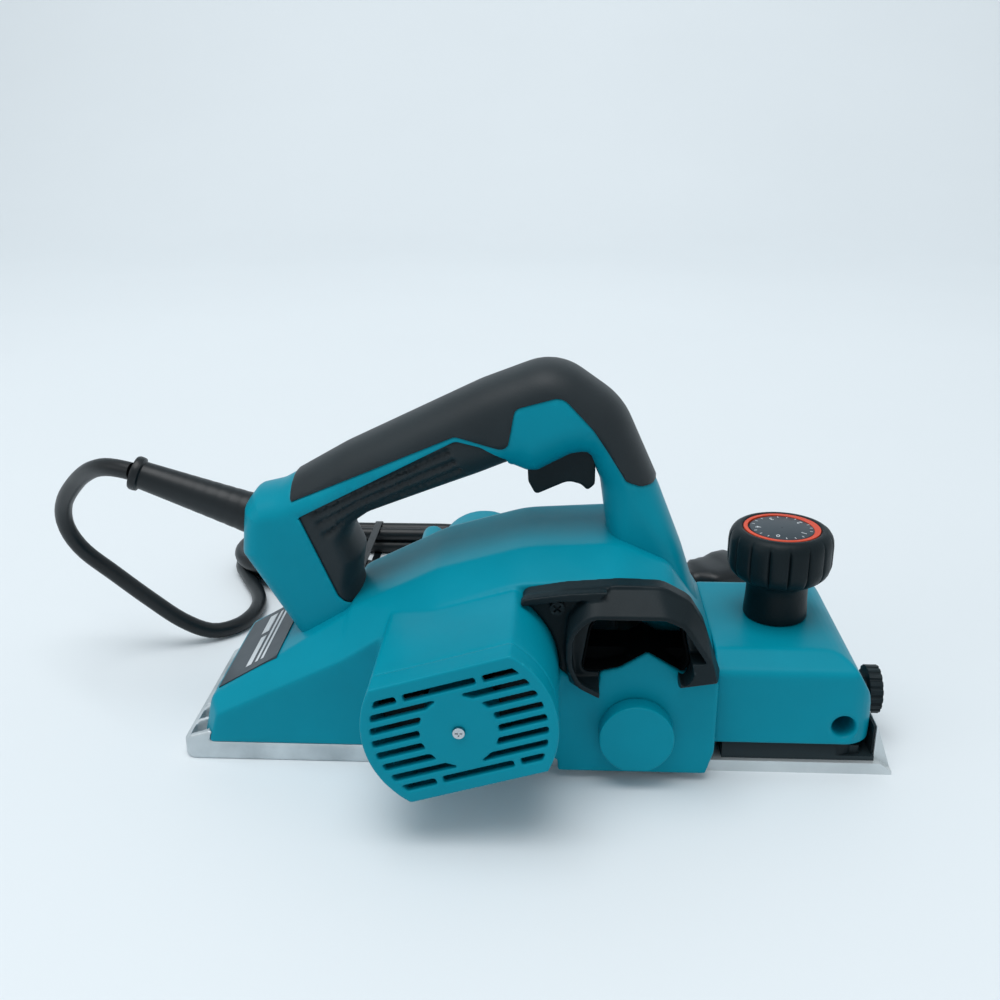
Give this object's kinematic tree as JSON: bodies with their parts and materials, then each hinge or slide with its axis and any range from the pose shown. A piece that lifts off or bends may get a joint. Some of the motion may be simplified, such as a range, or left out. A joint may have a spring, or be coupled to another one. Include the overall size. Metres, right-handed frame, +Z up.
{
  "type": "hand-held electric planer",
  "caption": "Corded hand-held wood planer with a closed trigger handle, crosswise motor, spring-loaded front sole set by a depth knob, and a side chip chute.",
  "frame": {"origin": "middle of the rear and front soles' common footprint, on the plane of the soles", "axes": "+X forward in the feed direction, +Y to the belt side, +Z up"},
  "size_m": [0.3636, 0.2812, 0.1577],
  "materials": {
    "teal_plastic": "semi-gloss moulded plastic",
    "black_plastic": "fine-grained matt plastic",
    "soft_grip": "matt soft overmould",
    "cord_rubber": "matt rubber sheath",
    "cast_aluminium": "cast and milled",
    "machined_steel": "turned and ground",
    "bright_screw": "plated",
    "copper": "copper windings and bars",
    "orange_plastic": "moulded dial face",
    "plate_grey": "blank plate"
  },
  "bodies": {
    "body": {"base_casting": "cast_aluminium", "main_housing": "teal_plastic", "front_housing": "teal_plastic", "motor_end_cap": "teal_plastic", "end_cap_screw": "bright_screw", "handle_near": "teal_plastic", "handle_far": "teal_plastic", "handle_overmould": "soft_grip", "finger_grip": "soft_grip", "handle_screws": "bright_screw", "base_screws": "bright_screw", "switch_module": "black_plastic", "trigger_pin": "machined_steel", "chip_chute": "black_plastic", "chute_screw": "bright_screw", "drum_cover": "teal_plastic", "belt_cover": "teal_plastic", "belt_cover_screws": "bright_screw", "drive_belt": "soft_grip", "drum_bearing_near": "machined_steel", "drum_bearing_far": "machined_steel", "motor_bearing_near": "machined_steel", "motor_bearing_far": "machined_steel", "stator": "machined_steel", "brush_holders": "copper", "brushes": "black_plastic", "rating_plate": "plate_grey", "cord_guard": "cord_rubber", "cord_clamp": "black_plastic", "depth_spring": "machined_steel", "power_cord": "cord_rubber", "cord_hank": "cord_rubber", "cord_tie": "cord_rubber", "cord_tail": "cord_rubber", "plug_body": "cord_rubber", "plug_pins": "bright_screw"},
    "armature": {"motor_shaft": "machined_steel", "rotor_core": "copper", "commutator": "copper", "cooling_fan": "black_plastic", "motor_pulley": "machined_steel"},
    "drum": {"cutter_drum": "cast_aluminium", "drum_blades": "machined_steel", "blade_clamps": "cast_aluminium", "blade_bolts": "machined_steel", "drum_pulley": "black_plastic", "pulley_nut": "bright_screw"},
    "trigger_lever": {"trigger": "black_plastic"},
    "lock": {"lock_button": "black_plastic"},
    "knob": {"depth_knob": "black_plastic", "knob_dial": "orange_plastic", "depth_screw": "machined_steel"},
    "front_sole": {"front_base": "cast_aluminium", "front_skirt": "black_plastic"},
    "guide_clamp": {"clamp_knob": "black_plastic", "clamp_screw": "machined_steel"}
  },
  "joints": [
    {"name": "motor_spin", "type": "hinge", "parent": "body", "child": "armature", "pos_m": [-0.0245, 0, 0.049], "axis": [0, 1, 0], "continuous": true},
    {"name": "drum_spin", "type": "hinge", "parent": "body", "child": "drum", "pos_m": [0.04, 0, 0.023], "axis": [0, 1, 0], "continuous": true},
    {"name": "trigger_pull", "type": "hinge", "parent": "body", "child": "trigger_lever", "pos_m": [0.02, 0, 0.126], "axis": [0, 1, 0], "range_deg": [0, 10], "stiffness_Nm_per_rad": 0.6, "springref_deg": -11.46},
    {"name": "lock_press", "type": "slide", "parent": "body", "child": "lock", "axis": [0, -1, 0], "range_m": [0, 0.0025], "stiffness_N_per_m": 400, "springref_m": -0.003},
    {"name": "knob_turn", "type": "hinge", "parent": "body", "child": "knob", "pos_m": [0.1, 0, 0.06], "axis": [0, 0, 1], "range_deg": [0, 330]},
    {"name": "depth_slide", "type": "slide", "parent": "body", "child": "front_sole", "axis": [0, 0, 1], "range_m": [0, 0.0025], "deforming": ["depth_spring"]},
    {"name": "clamp_turn", "type": "hinge", "parent": "body", "child": "guide_clamp", "pos_m": [0.14, -0.01, 0.021], "axis": [1, 0, 0], "range_deg": [0, 720]}
  ],
  "couplings": [
    {"joint": "drum_spin", "follows": "motor_spin", "ratio": 0.66667},
    {"joint": "knob_turn", "follows": "depth_slide", "rad_per_m": 2303}
  ]
}
